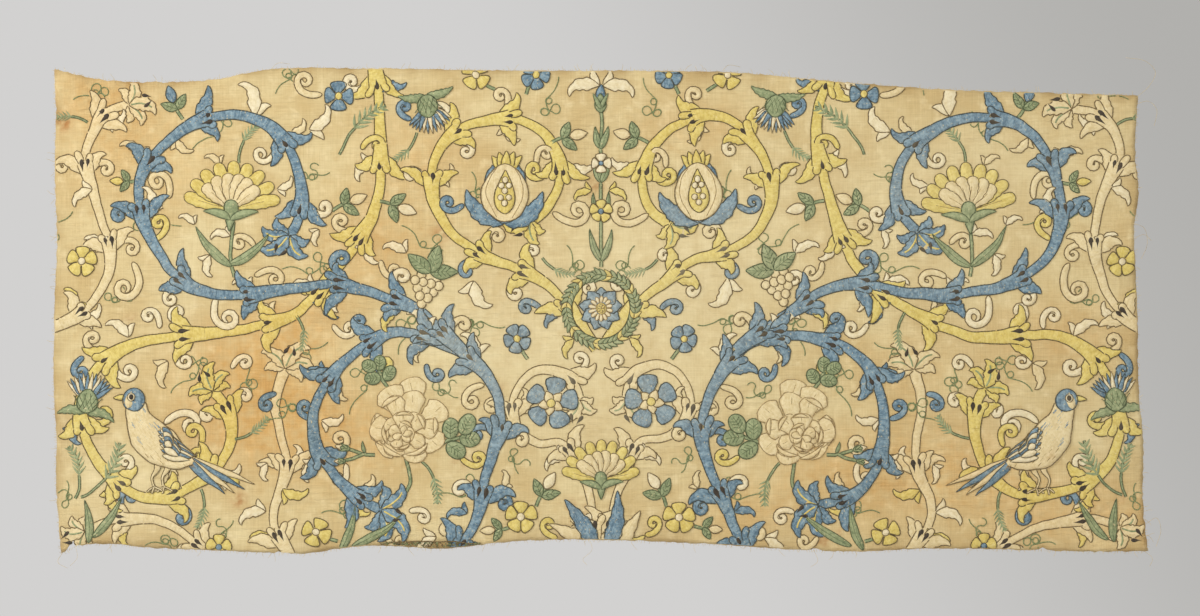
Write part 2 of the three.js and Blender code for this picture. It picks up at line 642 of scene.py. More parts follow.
def stalk(spot, points, layer=2):
    """A thin green stalk through points of a motif's own drawing."""
    spine = smooth_path(spot.put(points))
    fill("green", spine, STALK_HALF, layer, thread=FINE_RADIUS, puff=0.2, open_ends=True)


# %% Small flowers and fruit
def petals(spot, silk, how_many, base, length, half, layer, first=0.0, width_rule=petal_width, **more):
    """A ring of petals, each from a base radius outwards."""
    for i in range(how_many):
        petal = spot.turned(first + 360 * i / how_many, base)
        shape(petal, silk, width_rule, length, half, layer, **more)


def disc(spot, silk, radius, layer, **more):
    shape(spot.inner(0, -radius), silk, disc_width, 2 * radius, radius, layer, **more)


def small_flower(spot, silk, centre, how_many=5, radius=16.0, layer=4):
    """Round petals that just touch, and a disc in the middle."""
    half = radius * math.sin(math.pi / how_many) * 1.02
    petals(spot, silk, how_many, radius * 0.12, radius * 0.88, half, layer)
    disc(spot, centre, radius * 0.25, layer + 1, thread=FINE_RADIUS)


def star_flower(spot, layer=4, radius=27.0):
    """Five broad blue petals, with a cream star over them and a yellow dot in its middle."""
    petals(spot, "blue", 5, radius * 0.16, radius * 0.9, radius * 0.53, layer, teeth=(0.05, 3), count=15)
    petals(spot, "cream", 5, 0, radius * 0.54, radius * 0.2, layer + 1, first=36, width_rule=leaf_width)
    disc(spot, "yellow", radius * 0.18, layer + 2, thread=FINE_RADIUS)


def bud(spot, layer=4, silk="ivory"):
    """A closed bud: a green sheath with the petals' tip showing."""
    shape(spot.inner(0, 8), silk, leaf_width, 20, 5, layer)
    shape(spot, "green", leaf_width, 19, 6, layer + 1)
    for side in (-1, 1):
        fine_shape(spot.inner(0, 4, turn=side * 26), "green", lance_width, 17, 2.4, layer + 1)


print("small motifs ready")

# %% [markdown]
# ## Stems
#
# The stems carry the whole design. Each grows out of the last one like an arm out of a sleeve: it
# starts thin, widens, and ends in a few toothed lobes with one or two dark drops between them,
# from which a thin stem goes on. The half width is a rule of the way to the next joint, and a cuff
# of lobes is laid over each joint. Leaflets in the other silks spring from the cuffs.

# %% Stems and cuffs
JOINT_GAP = 70.0
CUFF_CURLS = 0.42
CUFF_FLICKS = 0.84
FIRST_GAP = (0.4, 0.8)
LATER_GAPS = (0.68, 1.35)
LAST_GAP = 1.1
END_ROOM = 26
END_REACH = 20
SLEEVE = 7
BOW = 2.4
STEM_DRIFT = 0.4
END_LEAVES = [
    # turn, length and half width
    (84, 34, 6.4),
    (-84, 34, 6.4),
    (46, 46, 7.6),
    (-46, 46, 7.6),
    (6, 54, 8.6),
]
LEAFLET_SILKS = ("ivory", "ivory", "ivory", "cream", "cream", "blue", "yellow")


def cuff(spot, silk, layer, half, pick):
    """The toothed lobes where a stem ends, and the leaflets that spring from its sides."""
    for side in (-1, 1):
        root = spot.inner(side * half * 1.1, -4, turn=-side * pick.uniform(20, 74))
        leaf_silk = pick.choice(LEAFLET_SILKS)
        kind = pick.random()
        if kind < CUFF_CURLS:
            curl(root, leaf_silk, layer + 1, pick.uniform(42, 60), pick.uniform(2.7, 3.6),
                 side * pick.uniform(430, 500))
        elif kind < CUFF_FLICKS:
            flick(root, leaf_silk, layer + 1, pick.uniform(0.8, 1.1))
    for side in (-1, 1):
        outer = spot.inner(side * half * 0.75, -10, turn=-side * pick.uniform(14, 34))
        shape(outer, silk, leaf_width, pick.uniform(26, 36), pick.uniform(5.4, 6.8), layer + 1,
              bend=side * pick.uniform(60, 130), power=2.0, teeth=(0.16, 3), count=19)
        inner = spot.inner(side * half * 0.42, -9, turn=-side * pick.uniform(4, 14))
        shape(inner, silk, petal_width, pick.uniform(16, 24), pick.uniform(4.4, 5.4), layer + 1,
              bend=side * pick.uniform(10, 70), power=2.0)


def leafy_end(spot, silk, layer, size):
    """Where a scroll stops: a spray of toothed leaves that roll outwards, three with a midrib."""
    for turn, length, width in END_LEAVES:
        spine = shape(spot.inner(0, -8, turn=turn), silk, leaf_width, length * size, width * size**0.5,
                      layer + 1, bend=-100 if turn > 0 else 100, power=2.2, teeth=(0.2, 4), count=25)
        if abs(turn) < 50:
            fill("yellow" if silk == "blue" else "green", spine[4:-8], 0.9, layer + 1, border=None)
    for side in (-1, 1):
        eye(spot.inner(side * 6, 6, turn=side * 24), layer + 2, 0.8)


def sleeve_width(t):
    """A stem's width on the way to the next joint, as a share of its half width."""
    return 0.64 + 0.22 * t + 0.5 * t**4


def spot_on(spine, here, side):
    """A spot on one point of a line, turned the way that the line runs there."""
    ahead = spine[min(here + 1, len(spine) - 1)] - spine[max(here - 1, 0)]
    turn = math.degrees(math.atan2(ahead[1], ahead[0] * side)) - 90
    return Spot(spine[here][0] * side, spine[here][1], turn, 1.0, side)


def stem(silk, points, layer, seed, side, half, end):
    """A stem through a few points, jointed every hand's breadth, that ends in leaves."""
    pick = random.Random(seed)
    spine = smooth_path([(x * side + drift(side) * STEM_DRIFT, z) for x, z in points])
    length = STEP * (len(spine) - 1)
    stops = [JOINT_GAP * pick.uniform(*FIRST_GAP)]
    while stops[-1] < length - JOINT_GAP * LAST_GAP:
        stops.append(stops[-1] + JOINT_GAP * pick.uniform(*LATER_GAPS))
    stops = np.array([s for s in stops if s < length - END_ROOM])
    along = np.arange(len(spine)) * STEP
    bounds = np.concatenate([[-JOINT_GAP], stops, [length + END_REACH]])
    after = np.searchsorted(bounds, along - 0.1).clip(1, len(bounds) - 1)
    through = (along - bounds[after - 1]) / (bounds[after] - bounds[after - 1])
    widths = half * sleeve_width(through)
    bow = BOW * np.sin(np.pi * through) * np.where(after % 2, 1, -1)
    spine = spine + sideways(spine) * bow[:, None]
    fill(silk, spine, widths, layer, open_ends=True, across_grain=True)
    for stop in stops:
        here = int(stop / STEP)
        spot = spot_on(spine, here, side)
        cuff(spot, silk, layer, half, pick)
        sleeve = slice(max(here - SLEEVE, 0), here + 1)
        fill(silk, spine[sleeve], widths[sleeve], layer + 1, open_ends=True, across_grain=True)
        for turn in pick.choice(((-1, 1), (-1, 1), (-1, 1), (-0.3,))):
            eye(spot.inner(turn * half * 0.54, 5, turn=180 - turn * pick.uniform(-6, 12)), layer + 2,
                pick.uniform(0.8, 1.1))
    leafy_end(spot_on(spine, len(spine) - 1, side), silk, layer, end)


print("stems ready")

# %% [markdown]
# ## Large motifs
#
# Roses, asters, carnations, pomegranates, thistles, grapes and birds are ordinary motifs of old silk
# work. They are drawn here by simple rules of rings and fans, and none is taken from any one cloth.


# %% Roses and asters
def rose(spot, layer=4, radius=44.0, seed=5):
    """A full rose: petals in four rings, some with a folded rim, and a rolled heart."""
    pick = random.Random(seed)
    rings = [
        # petals, base, length, half width, first turn, as shares of the rose's radius
        (7, 0.24, 0.80, 0.38, 0),
        (6, 0.12, 0.68, 0.33, 22),
        (6, 0.02, 0.52, 0.26, 60),
        (6, -0.04, 0.38, 0.19, 15),
    ]
    for ring, (how_many, base, length, half, first) in enumerate(rings):
        middle = spot.inner(radius * 0.05 * ring, -radius * 0.10 * ring)
        for i in range(how_many):
            turn = first + 360 * i / how_many + pick.uniform(-13, 13)
            reach = length * radius * pick.uniform(0.84, 1.12)
            width = half * radius * pick.uniform(0.82, 1.16)
            petal = middle.turned(turn, base * radius)
            spine = fine_shape(petal, "cream", petal_width, reach, width, layer + ring,
                               bend=pick.uniform(-34, 34), border="tan", teeth=(0.1, 2.5), count=13)
            fine_line(spine[7:10], layer + ring, "tan")
            if pick.random() < 0.5:
                share = shares(9)
                sweep = np.radians(90 + width / reach * 62 * pick.uniform(0.6, 1) * (1 - 2 * share))
                rim = petal.put(directions(sweep) * reach * 0.9)
                fill("cream", rim, reach * 0.09 * np.sin(np.pi * share), layer + ring, border="tan",
                     thread=FINE_RADIUS)
    heart = spot.inner(radius * 0.1, -radius * 0.2)
    for turn in (150, 30, 270, 90):
        fine_shape(heart.inner(0, -radius * 0.08, turn=turn), "cream", petal_width, radius * 0.22,
                   radius * 0.12, layer + 4, bend=90, border="tan")


def aster(spot, layer=4, radius=36.0):
    """Blue lobed petals, a ring of narrow ivory ones over them, and a yellow heart."""
    petals(spot, "blue", 9, radius * 0.2, radius * 0.82, radius * 0.33, layer, width_rule=leaf_width,
           teeth=(0.14, 4), count=19)
    petals(spot, "ivory", 14, radius * 0.16, radius * 0.42, radius * 0.11, layer + 1, border="tan",
           thread=FINE_RADIUS, count=8)
    disc(spot, "yellow", radius * 0.25, layer + 2, border="tan", thread=FINE_RADIUS)
    petals(spot, "yellow", 6, 0, radius * 0.2, radius * 0.09, layer + 3, border="tan",
           thread=FINE_RADIUS, count=6)


# %% Carnations, pomegranates and thistles
def carnation(spot, layer=4):
    """A fan of fringed petals in two rows over a green cup."""
    for row, (silk, how_many, length, spread) in enumerate([("yellow", 9, 42, 19), ("cream", 6, 31, 20)]):
        for i in range(how_many):
            turn = (i - (how_many - 1) / 2) * spread
            spine = fine_shape(spot.inner(0, 10, turn=turn), silk, petal_width, length, 7.5, layer + row,
                               teeth=(0.14, 4), count=17)
            fine_line(spine[5:11], layer + row, "tan")
    shape(spot.inner(0, -10), "green", petal_width, 28, 8, layer + 3)
    for side in (-1, 1):
        fine_shape(spot.turned(-side * 46), "green", leaf_width, 26, 3.6, layer + 3, bend=side * 50)


def pomegranate(fruit, layer=4):
    """A split fruit that shows its seeds, crowned, between toothed blue leaves."""
    for side in (-1, 1):
        for turn, length, half in ((78, 56, 9), (34, 72, 10)):
            shape(fruit.inner(0, -8, turn=-side * turn), "blue", leaf_width, length, half, layer,
                  bend=-side * 70, power=1.4, teeth=(0.16, 5), count=27)
    for turn in (40, -40, 20, -20, 0):
        shape(fruit.inner(0, 44, turn=turn), "yellow", leaf_width, 24, 5, layer + 1)
    shape(fruit.inner(0, -6), "cream", fruit_width, 60, 25, layer + 2, count=19)
    for side in (-1, 1):
        rib = [(side * 8, -2), (side * 19, 20), (side * 17, 38), (side * 9, 50)]
        fine_line(smooth_path(fruit.put(rib)), layer + 2, "tan")
    shape(fruit.inner(0, 2), "yellow", lance_width, 46, 11, layer + 3, count=15)
    for v, reach in ((13, 0), (19, 4.4), (26, 0), (32, 3.8), (38, 0)):
        for u in {-reach, reach}:
            disc(fruit.inner(u, v), "ivory", 3.3, layer + 4, thread=FINE_RADIUS, count=7)


def thistle(flower, layer=4):
    """A tuft of narrow blue petals over a green bulb with crossing lines of thread."""
    for i in range(13):
        turn = (i * 5 % 13 - 6) * 8.5
        fine_shape(flower.inner(-turn * 0.12, 16, turn=turn), "blue" if i % 3 else "ivory", lance_width,
                   30 - abs(turn) * 0.1, 2.6, layer + i % 2, count=8)
    shape(flower, "green", fruit_width, 26, 12, layer + 2, count=13)
    for side in (-1, 1):
        for step in range(4):
            start, end = (side * (8 - 5 * step), 3 + step), (side * (10 - 6 * step), 22 - 1.5 * step)
            fine_line(flower.put([start, (start[0] - side * 4, 12), (end[0] - side * 8, end[1])]), layer + 2)
        fine_shape(flower.turned(-side * 70), "green", leaf_width, 34, 5, layer + 1, bend=side * 60,
                   teeth=(0.24, 5), count=25)


# %% Branches
def rose_branch(spot, layer=3):
    """A short stalk with rounded, veined leaves on both sides."""
    stalk(spot, [(0, 0), (2, 14), (-1, 28), (1, 40)], layer)
    for u, v, turn in ((-1, 12, 66), (2, 18, -62), (-1, 30, 34), (2, 34, -30)):
        veined_leaf(spot.inner(u, v, turn=turn), layer + 1, 26, 10.5, width_rule=disc_width)


def bud_branch(spot, layer=3):
    """A forked stalk with a closed bud on each end and a small leaf at the fork."""
    stalk(spot, [(0, 0), (3, 20), (0, 44)], layer)
    stalk(spot, [(2, 18), (12, 30), (20, 46)], layer)
    bud(spot.inner(0, 42, size=0.9), layer + 1)
    bud(spot.inner(20, 44, turn=-16, size=0.75), layer + 1)
    fine_shape(spot.inner(0, 16, turn=50), "green", lance_width, 20, 3, layer + 1, bend=-30)


def grapes(spot, layer=3):
    """A bunch of grapes under two pointed leaves."""
    for row, how_many in enumerate((3, 4, 3, 2, 1)):
        for i in range(how_many):
            grape = spot.inner((i - (how_many - 1) / 2) * 8.6, -8 - 7.4 * row)
            disc(grape, "cream", 4.9, layer + 1 + row % 2)
    for turn in (74, 6, -64):
        veined_leaf(spot.inner(0, -4, turn=turn), layer + 3, 30, 8)


def leafy_rope(points, layer=3):
    """A rope of short leaves, in pairs along a line, on a yellow band."""
    spine = smooth_path(points, 5.2)
    ahead = np.gradient(spine, axis=0)
    fill("yellow", spine, 5.2, layer - 1, thread=FINE_RADIUS, puff=0.15, open_ends=True)
    for i, (x, z) in enumerate(spine):
        turn = math.degrees(math.atan2(ahead[i][1], ahead[i][0])) - 90
        for side in (-1, 1):
            fine_shape(Spot(x, z, turn + side * 34), "yellow" if i % 5 == 4 else "green", lance_width,
                       10.5, 2.2, layer, count=6)


# %% Birds
def bird(spot, layer=6):
    """A perching song bird, seen from its side, with a blue cap, wing and tail."""
    for i, turn in enumerate((112, 119, 126, 133)):
        fine_shape(spot.inner(-24, -16, turn=turn), "blue" if i % 2 else "cream", lance_width, 90 - 8 * i,
                   4.6, layer, count=16)
    for u in (-3, 9):
        leg = smooth_path([(u - 4, -14), (u - 2, -32), (u + 4, -42), (u + 1, -53)], 2.5)
        thick = np.interp(np.linspace(0, 1, len(leg)), [0, 0.45, 0.7, 0.9, 1], [6.5, 3.4, 1.3, 1.1, 1.8])
        fill("cream", spot.put(leg), thick * spot.size, layer, border="brown", thread=FINE_RADIUS)
        for toe, curled in ((-9, -57), (9, -58), (3, -60)):
            path = smooth_path([(u + 1, -52), (u + toe * 0.6, -54.5), (u + toe, curled)], 2)
            fill("cream", spot.put(path), 0.9, layer + 1, border="brown", thread=FINE_RADIUS)
    breast = smooth_path([(-36, -24), (-12, -15), (13, 4), (26, 26), (31, 44)], STEP)
    widths = np.interp(np.linspace(0, 1, len(breast)), [0, 0.12, 0.4, 0.65, 0.85, 1],
                       [3, 12, 23, 22, 14, 12]) * spot.size
    fill("cream", spot.put(breast), widths, layer + 1, puff=0.5)
    shape(spot.inner(40, 53, turn=-98), "yellow", leaf_width, 17, 3.4, layer + 1)
    disc(spot.inner(33, 50), "blue", 13, layer + 2)
    shape(spot.inner(40, 40, turn=12), "cream", leaf_width, 20, 5.5, layer + 3, border=None)
    for row, (how_many, length, start) in enumerate([(6, 54, 124), (5, 36, 134), (4, 22, 142)]):
        for i in range(how_many):
            feather = spot.inner(6 - 3 * row - i, 14 + 2 * row - 6 * i, turn=start - 5 * i)
            fine_shape(feather, "ivory" if (i + row) % 2 else "blue", leaf_width, length - 4 * i, 4.2,
                       layer + 3 + row, border="brown")
    disc(spot.inner(36, 53), "ivory", 4.6, layer + 4, thread=FINE_RADIUS)
    disc(spot.inner(36, 53), "dark", 3.0, layer + 5, border=None)
    pick = random.Random(3)
    for _ in range(60):
        share, off = pick.random(), pick.uniform(-0.8, 0.8)
        here = round(share * (len(breast) - 1))
        u, v = breast[here] + off * (widths[here] / spot.size) * np.array([0.66, -0.75])
        fine_line(spot.put([(u, v), (u - 3.6, v - 4.6)]), layer + 1, "tan" if share < 0.6 else "blue")


print("large motifs ready")

# %% [markdown]
# ## What covers what
#
# Silk that is worked later lies over what came before. A simple test of points against outlines
# says where that is. It leaves hidden faces and threads out of the meshes, and it also finds the
# bare places between the motifs.

# %% Covered places
CHUNK = 10


def rank(item):
    return item.layer * 10**6 + item.order


def outlines():
    """Simple polygons of all fills, cut into short stretches, each with its rank."""
    found = []
    for item in fills:
        out = sideways(item.spine) * item.half[:, None]
        left, right = item.spine + out, item.spine - out
        for start in range(0, len(item.spine) - 1, CHUNK):
            end = start + CHUNK + 1
            ring = np.vstack([left[start:end], right[start:end][::-1]])
            found.append((rank(item), ring, ring.min(0), ring.max(0)))
    return found


def covered(points, ranks, rings):
    """For each point, whether an outline of a higher rank goes round it."""
    hidden = np.zeros(len(points), bool)
    by_x = np.argsort(points[:, 0])
    sorted_x = points[by_x, 0]
    for cover_rank, ring, low, high in rings:
        first, last = np.searchsorted(sorted_x, (low[0], high[0]))
        near = by_x[first:last]
        near = near[(points[near, 1] > low[1]) & (points[near, 1] < high[1]) & (ranks[near] < cover_rank)]
        near = near[~hidden[near]]
        if len(near) == 0:
            continue
        x, z = points[near, 0][:, None], points[near, 1][:, None]
        x1, z1 = ring[:, 0], ring[:, 1]
        x2, z2 = np.roll(x1, -1), np.roll(z1, -1)
        rises = (z1 > z) != (z2 > z)
        crossing = x1 + (z - z1) * (x2 - x1) / np.where(z2 == z1, TINY, z2 - z1)
        hidden[near] = (rises & (x < crossing)).sum(1) % 2 == 1
    return hidden


# %% [markdown]
# ## The design
#
# A table and a few short functions place everything on the right half, and the same calls work
# the left half as its mirror, a few millimetres off, as hand work is. On each half four great
# scrolls coil round a pomegranate, a carnation, a rose and a bird, two blue and two yellow, and
# cream ones fill the sides. The middle has a stalk of flowers over a ring of leaves.

# %% Scrolls
HAND = random.Random(7)


def drift(side):
    """How far a motif on the mirrored half strays from its twin, in mm or degrees."""
    return 0 if side == 1 else HAND.uniform(-2.2, 2.2)


def at(x, z, turn=0.0, size=1.0, side=1):
    return Spot(x + drift(side), z + drift(side), turn + drift(side), size, side)


def coil(x, z, radius, start, sweep, closing=1.0):
    """Points round a middle, from a start angle in degrees, that may close in on it."""
    t = np.linspace(0, 1, max(5, round(abs(sweep) / 28)))
    angle = np.radians(start + sweep * t)
    reach = radius * (1 + (closing - 1) * t**1.6)
    return list(zip(x + reach * np.cos(angle), z + reach * np.sin(angle)))


STEMS = [
    # silk, layer, seed, half width, size of the leafy end, and the points it runs through
    ("cream", 0, 11, 6.0, 0.7, [(300, -496), (328, -446), (314, -392), (322, -334), (312, -290)]),
    ("cream", 0, 12, 6.0, 0.6, [(552, -262), (514, -238), (492, -190), (500, -132), (516, -84), (498, -46),
                                (462, -34)]),
    ("cream", 0, 13, 5.6, 0.5, [(378, -494), (430, -456), (486, -448), (524, -462)]),
    ("cream", 0, 14, 5.4, 0.5, [(4, -484), (10, -440), (26, -392)] + coil(50, -330, 42, 256, 300, 0.6)),
    ("yellow", 1, 21, 7.0, 0.6, [(230, 16), (218, -50), (224, -120), (250, -184), (302, -238), (366, -262)]
     + coil(436, -350, 86, 98, -318, 0.7)),
    ("yellow", 1, 22, 6.6, 0.6, [(4, -276), (40, -228), (84, -196)] + coil(98, -112, 74, 288, 316, 0.66)),
    ("blue", 2, 31, 6.8, 0.8, [(152, -494), (128, -450)] + coil(196, -356, 96, 212, -292, 0.88)),
    ("blue", 2, 32, 6.8, 0.7, [(136, -280), (190, -238), (250, -214), (310, -220)]
     + coil(368, -128, 96, 264, 316, 0.68)),
]


def scrolls(side):
    for silk, layer, seed, half, end, points in STEMS:
        stem(silk, points, layer, seed, side, half, end)


# %% Flowers in the scrolls
LOW_LEAVES = [
    # x, z, turn and length of the long leaves at the bottom edge
    (506, -468, 50, 50),
    (512, -470, 10, 44),
    (250, -474, 70, 60),
    (262, -478, 30, 48),
]


def great_flowers(side):
    stalk(at(368, -206, 0, 1, side), [(0, 0), (3, 22), (0, 54)])
    for turn, length in ((66, 52), (-58, 56)):
        lance_leaf(at(369, -196, turn, 1.0, side), 3, length, 4.6, 34 if turn > 0 else -34)
    carnation(at(368, -152, 4, 1.16, side))
    pomegranate(at(98, -144, 3, 0.96, side))
    stalk(at(196, -424, 0, 1, side), [(0, 0), (-6, 14), (-2, 36)])
    rose_branch(at(164, -376, 62, 0.8, side))
    rose_branch(at(212, -318, -34, 0.62, side))
    bud_branch(at(226, -384, -78, 0.6, side))
    rose(at(194, -354, 8, 0.98, side))
    bird(at(436, -372, 0, 0.86, side))
    star_flower(at(50, -330, 10, 0.92, side), 4)
    grapes(at(172, -196, 16, 0.95, side))
    thistle(at(176, -24, 172, 0.86, side))
    thistle(at(516, -340, 10, 0.9, side))
    fern(at(520, -424, 64, 1.0, side))
    fern(at(524, -426, 24, 0.8, side))
    fern(at(262, -84, 20, 1.0, side), bend=-50)
    for x, z, turn, length in LOW_LEAVES:
        lance_leaf(at(x, z, turn, 1.0, side), 3, length, 4.2, 26)
    small_flower(at(262, -24, 0, 0.9, side), "blue", "yellow", 4)
    small_flower(at(520, -190, 0, 0.95, side), "yellow", "ivory")
    small_flower(at(78, -446, 0, 1.0, side), "yellow", "ivory")
    small_flower(at(382, -474, 0, 0.8, side), "yellow", "blue")


def middle():
    """The stalk of flowers, the ring of leaves and the tuft at the bottom, all on the middle line."""
    leafy_rope(coil(0, -238, 34, 90, 360))
    aster(Spot(0, -238, 0, 0.6), 5)
    stalk(Spot(0, 0), [(0, -196), (0, -120), (0, -30)], 3)
    for z, turn, length in ((-190, 34, 34), (-150, 30, 30), (-112, 28, 28), (-78, 30, 24)):
        for side in (-1, 1):
            lance_leaf(Spot(0, z, -turn, 1, side), 3, length, 3.4, -30)
    bud(Spot(0, -42, 0, 1.0), 5, "blue")
    small_flower(Spot(0, -92, 0, 0.62), "ivory", "blue", 4, layer=5)
    small_flower(Spot(0, -140, 0, 0.7), "yellow", "blue", layer=5)
    for side in (1, -1):
        for turn, reach, silk in ((74, 46, "yellow"), (48, 58, "cream"), (22, 66, "blue")):
            shape(Spot(3, -484, -turn, 1, side), silk, leaf_width, reach, 8, 4, bend=side * -24, power=1.6,
                  teeth=(0.16, 5), count=25)
    carnation(Spot(0, -418, 0, 0.95), 5)


# %% Bare places
# From where to where bare places are looked for, first across and then up.
SEARCHED = ((7, 540), (-478, -2))
EDGE_ROOM = 5.0
GAP_STEP = 4.0
SMALLEST_GAP = 10.5
MOST_GAPS = 400
GAP_SPREAD = 1.3
TENDRILS = 26
TENDRIL_ROOM = 8.0
TENDRIL_SPREAD = 2.6
ROOMY = 14
SPRAY_ROOM = 20
SPRAYS = 0.3
FERNS = 0.55
CURLS = 0.68
SMALL_FLOWERS = 4
LONGEST_NECK = 20.0


def bare_places():
    """Places of the right half, the room round each, and the nearest worked place."""
    across, up = np.meshgrid(*(np.arange(*reach, GAP_STEP) for reach in SEARCHED))
    places = np.column_stack([across.ravel(), up.ravel()])
    places = places[~cut_off(places, EDGE_ROOM)]
    taken = covered(places, np.full(len(places), -1), outlines())
    worked = np.vstack([places[taken]] + [item.points for item in lines])
    tree = KDTree(len(worked))
    for i, (x, z) in enumerate(worked):
        tree.insert((x, z, 0), i)
    tree.balance()
    places = places[~taken]
    found = [tree.find((x, z, 0)) for x, z in places]
    return places, np.array([f[2] for f in found]), np.array([f[0][:2] for f in found])


def roomiest(places, room, smallest, most, share):
    """The places with the most room, one after another, each taking its share of the room."""
    room, chosen = room.copy(), []
    while len(chosen) < most and room.max() >= smallest:
        i = int(room.argmax())
        chosen.append((i, room[i]))
        room = np.minimum(room, np.linalg.norm(places - places[i], axis=1) - room[i] * share)
    return chosen


def leaf_spray(spot, space, silk):
    """A short stalk with three leaves, or with two and a coloured bud."""
    stalk(spot, [(0, 0), (1, space * 0.5), (0, space * 1.1)], 1)
    for turn in (56, -50):
        veined_leaf(spot.inner(0, space * 0.6, turn=turn), 2, space * 0.95, space * 0.25, veins=2)
    shape(spot.inner(0, space, turn=4), silk, leaf_width, space * 0.95, space * 0.28, 3)


def fill_gaps():
    """Tendrils first, then a few small flowers, sprays and leaflets that grow from the nearest silk."""
    pick = random.Random(12)
    places, room, nearest = bare_places()
    for i, _ in roomiest(places, room, TENDRIL_ROOM, TENDRILS, TENDRIL_SPREAD):
        turn, length = pick.uniform(0, 360), pick.uniform(90, 170)
        for side in (1, -1):
            tendril(at(*places[i], turn, 1.0, side), length)
    room = bare_places()[1]
    chosen = roomiest(places, room, SMALLEST_GAP, MOST_GAPS, GAP_SPREAD)
    for number, (i, space) in enumerate(chosen):
        away = np.linalg.norm(places[i] - nearest[i])
        toward = (places[i] - nearest[i]) / away
        turn = math.degrees(math.atan2(toward[1], toward[0])) - 90 + pick.uniform(-20, 20)
        start = places[i] - toward * min(away, LONGEST_NECK)
        silk, kind = pick.choice(LEAFLET_SILKS), pick.random()
        bend = pick.choice((-1, 1)) * pick.uniform(430, 500)
        for side in (1, -1):
            spot = at(*start, turn, 1.0, side)
            if number < SMALL_FLOWERS:
                stalk(spot, [(0, 0), (1, space * 0.5), (0, space)], 1)
                pair = ("blue", "yellow") if number % 2 else ("yellow", "ivory")
                small_flower(spot.inner(0, space), *pair, how_many=4 + number % 2, radius=14, layer=3)
            elif space > ROOMY and kind < SPRAYS:
                leaf_spray(spot, min(space, SPRAY_ROOM), silk)
            elif space > ROOMY and kind < FERNS:
                fern(spot.inner(0, 0, size=space / 26), 1, bend=bend / 8)
            elif kind < CURLS:
                curl(spot, silk, 1, space * 4.2, 2.2 + space * 0.07, bend)
            else:
                flick(spot, silk, 1, space / 15)
    print("bare places filled:", len(chosen))


# %% The turned hem
HEM_STITCHES = 110
HEM_POINTS = 24
HEM_LAYER = 9
HEM_SLANT = 3
HEM_RISE = 1.6


def hem():
    """Along the turned hem the back of the work shows, as short stitches in every thread."""
    pick = random.Random(31)
    along = np.linspace(*HEM, HEM_POINTS)
    heights = np.array([hem_height(x) for x in along])
    top = np.column_stack([along, edge_at("bottom", along) + heights])
    line(top, HEM_LAYER, "umber", TENDRIL_RADIUS)
    for _ in range(HEM_STITCHES):
        x, slant = pick.uniform(*HEM), pick.uniform(-HEM_SLANT, HEM_SLANT)
        z = edge_at("bottom", x) + pick.uniform(0.2, 0.8) * hem_height(x)
        silk = pick.choice(("umber", "brown", "green", "dark_green"))
        line([(x, z), (x + slant, z + HEM_RISE)], HEM_LAYER, silk)


for work in (scrolls, great_flowers):
    for side in (1, -1):
        work(side)
middle()
fill_gaps()
hem()
print("design placed:", len(fills), "fills,", len(lines), "lines")

# %% [markdown]
# ## From the plan to meshes
#
# Each silk becomes one mesh. For every fill a small grid is made by the operator and laid over
# its spine, low at both borders and raised in the middle, and what a later shape covers is
# deleted. Lines become tubes that swell at every stitch. On the back of such work only small
# stitches show, so there the outlines come again as short dashes.

# %% Silk fills
LIFT_BASE = 0.12
LIFT_PER_LAYER = 0.11
LIFT_PER_TURN = 0.008
TURNS = 12
MARGIN = 0.8
TUCKED = 0.03
EDGE_DIP = 0.1
SHADES = 97
SHARES_ACROSS = {
    # for fills up to this half width, where their columns lie, as shares of it
    9.0: (-1.0, -0.8, 0.0, 0.8, 1.0),
    13.0: (-1.0, -0.85, -0.5, 0.0, 0.5, 0.85, 1.0),
    math.inf: (-1.0, -0.92, -0.75, -0.56, -0.38, -0.19, 0.0, 0.19, 0.38, 0.56, 0.75, 0.92, 1.0),
}
RINGS = outlines()


def lift_of(item):
    return LIFT_BASE + LIFT_PER_LAYER * item.layer + LIFT_PER_TURN * (item.order % TURNS)


